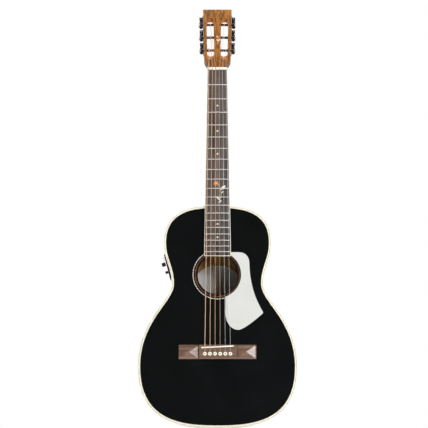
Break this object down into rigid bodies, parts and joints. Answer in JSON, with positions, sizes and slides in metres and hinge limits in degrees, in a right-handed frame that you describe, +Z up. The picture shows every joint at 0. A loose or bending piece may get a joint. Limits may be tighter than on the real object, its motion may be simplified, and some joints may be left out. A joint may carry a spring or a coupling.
{
  "type": "acoustic guitar",
  "caption": "Small black twelve-fret acoustic guitar with a slotted headstock, a pyramid bridge, a white pickguard and a side preamp.",
  "frame": {"origin": "the wall hanger's seat: under the headstock's shoulders, on the centreline, at the level of the neck's underside", "axes": "+Z up the neck to the headstock, -Y out of the soundboard, +X to the treble side, which is the player's lower side"},
  "size_m": [0.3486, 0.1195, 0.9732],
  "materials": {
    "black_lacquer": "high-gloss black polyester lacquer over wood",
    "cream_binding": "polished cream celluloid binding",
    "mahogany": "open-pored mahogany, sanded",
    "neck_wood": "very dark brown stained mahogany under gloss lacquer",
    "spruce": "bare quarter-sawn spruce",
    "rosewood": "dark brown-grey rosewood, oiled satin",
    "bridge_wood": "pinkish brown rosewood, satin",
    "rosette_inlay": "brown tortoise ring and pearl ring between black lines, lacquered flush",
    "white_guard": "smooth off-white plastic sheet",
    "bone": "polished bone white",
    "steel_rod": "plain steel rod",
    "black_plastic": "fine-grained moulded black plastic",
    "amber_veneer": "amber figured veneer with dark streaks under gloss lacquer",
    "black_metal": "black plated metal",
    "pin_cream": "cream plastic with a small dark dot",
    "roller_metal": "black plated roller with worn nickel gear",
    "button_black": "polished black button on a black plated worm",
    "wound_string": "bronze wound string",
    "plain_string": "plain steel string"
  },
  "bodies": {
    "root": {"soundboard": "black_lacquer", "back_plate": "black_lacquer", "top_binding": "cream_binding", "back_binding": "cream_binding", "treble_side": "black_lacquer", "bass_side": "black_lacquer", "neck_block": "mahogany", "tail_block": "mahogany", "top_lining_treble": "mahogany", "top_lining_bass": "mahogany", "back_lining_treble": "mahogany", "back_lining_bass": "mahogany", "x_brace_upper": "spruce", "x_brace_lower": "spruce", "transverse_brace": "spruce", "back_brace_1": "spruce", "back_brace_2": "spruce", "back_brace_3": "spruce", "bridge_plate": "rosewood", "rosette": "rosette_inlay", "pickguard": "white_guard", "fingerboard": "rosewood", "fingerboard_binding": "cream_binding", "nut": "bone", "neck": "neck_wood", "truss_rod": "steel_rod", "heel_cap": "black_plastic", "headstock_veneer": "amber_veneer", "tuner_plate_bass": "black_metal", "tuner_plate_treble": "black_metal", "bridge": "bridge_wood", "saddle": "bone", "bridge_pin_6": "pin_cream", "bridge_pin_5": "pin_cream", "bridge_pin_4": "pin_cream", "bridge_pin_3": "pin_cream", "bridge_pin_2": "pin_cream", "bridge_pin_1": "pin_cream", "string_6": "wound_string", "string_5": "wound_string", "string_4": "wound_string", "string_3": "wound_string", "string_2": "plain_string", "string_1": "plain_string", "preamp_panel": "black_plastic", "end_pin": "black_plastic"},
    "roller_bass_1": {"roller_bass_1": "roller_metal"},
    "worm_button_bass_1": {"worm_button_bass_1": "button_black"},
    "roller_bass_2": {"roller_bass_2": "roller_metal"},
    "worm_button_bass_2": {"worm_button_bass_2": "button_black"},
    "roller_bass_3": {"roller_bass_3": "roller_metal"},
    "worm_button_bass_3": {"worm_button_bass_3": "button_black"},
    "roller_treble_1": {"roller_treble_1": "roller_metal"},
    "worm_button_treble_1": {"worm_button_treble_1": "button_black"},
    "roller_treble_2": {"roller_treble_2": "roller_metal"},
    "worm_button_treble_2": {"worm_button_treble_2": "button_black"},
    "roller_treble_3": {"roller_treble_3": "roller_metal"},
    "worm_button_treble_3": {"worm_button_treble_3": "button_black"},
    "preamp_volume_knob": {"preamp_volume_knob": "black_plastic"},
    "preamp_tone_knob": {"preamp_tone_knob": "black_plastic"}
  },
  "joints": [
    {"name": "roller_bass_1_spin", "type": "hinge", "parent": "root", "child": "roller_bass_1", "pos_m": [-0.03104, 0.00154, 0.03427], "axis": [-0.9997, -0.0055, -0.022], "continuous": true},
    {"name": "button_bass_1_turn", "type": "hinge", "parent": "root", "child": "worm_button_bass_1", "pos_m": [-0.03673, 0.00454, 0.04628], "axis": [0, -0.9703, 0.2419], "continuous": true},
    {"name": "roller_bass_2_spin", "type": "hinge", "parent": "root", "child": "roller_bass_2", "pos_m": [-0.03184, 0.01001, 0.06823], "axis": [-0.9997, -0.0055, -0.022], "continuous": true},
    {"name": "button_bass_2_turn", "type": "hinge", "parent": "root", "child": "worm_button_bass_2", "pos_m": [-0.03752, 0.013, 0.08023], "axis": [0, -0.9703, 0.2419], "continuous": true},
    {"name": "roller_bass_3_spin", "type": "hinge", "parent": "root", "child": "roller_bass_3", "pos_m": [-0.03264, 0.01847, 0.10218], "axis": [-0.9997, -0.0055, -0.022], "continuous": true},
    {"name": "button_bass_3_turn", "type": "hinge", "parent": "root", "child": "worm_button_bass_3", "pos_m": [-0.03832, 0.02147, 0.11418], "axis": [0, -0.9703, 0.2419], "continuous": true},
    {"name": "roller_treble_1_spin", "type": "hinge", "parent": "root", "child": "roller_treble_1", "pos_m": [0.03104, 0.00154, 0.03427], "axis": [0.9997, -0.0055, -0.022], "continuous": true},
    {"name": "button_treble_1_turn", "type": "hinge", "parent": "root", "child": "worm_button_treble_1", "pos_m": [0.03673, 0.00454, 0.04628], "axis": [0, -0.9703, 0.2419], "continuous": true},
    {"name": "roller_treble_2_spin", "type": "hinge", "parent": "root", "child": "roller_treble_2", "pos_m": [0.03184, 0.01001, 0.06823], "axis": [0.9997, -0.0055, -0.022], "continuous": true},
    {"name": "button_treble_2_turn", "type": "hinge", "parent": "root", "child": "worm_button_treble_2", "pos_m": [0.03752, 0.013, 0.08023], "axis": [0, -0.9703, 0.2419], "continuous": true},
    {"name": "roller_treble_3_spin", "type": "hinge", "parent": "root", "child": "roller_treble_3", "pos_m": [0.03264, 0.01847, 0.10218], "axis": [0.9997, -0.0055, -0.022], "continuous": true},
    {"name": "button_treble_3_turn", "type": "hinge", "parent": "root", "child": "worm_button_treble_3", "pos_m": [0.03832, 0.02147, 0.11418], "axis": [0, -0.9703, 0.2419], "continuous": true},
    {"name": "volume_knob_turn", "type": "hinge", "parent": "root", "child": "preamp_volume_knob", "pos_m": [-0.11593, 0.03435, -0.45825], "axis": [-0.967, 0, -0.2546], "range_deg": [-150, 150]},
    {"name": "tone_knob_turn", "type": "hinge", "parent": "root", "child": "preamp_tone_knob", "pos_m": [-0.11109, 0.03435, -0.47662], "axis": [-0.967, 0, -0.2546], "range_deg": [-150, 150]}
  ],
  "couplings": [
    {"joint": "roller_bass_1_spin", "follows": "button_bass_1_turn", "ratio": 0.071429},
    {"joint": "roller_bass_2_spin", "follows": "button_bass_2_turn", "ratio": 0.071429},
    {"joint": "roller_bass_3_spin", "follows": "button_bass_3_turn", "ratio": 0.071429},
    {"joint": "roller_treble_1_spin", "follows": "button_treble_1_turn", "ratio": -0.071429},
    {"joint": "roller_treble_2_spin", "follows": "button_treble_2_turn", "ratio": -0.071429},
    {"joint": "roller_treble_3_spin", "follows": "button_treble_3_turn", "ratio": -0.071429}
  ]
}
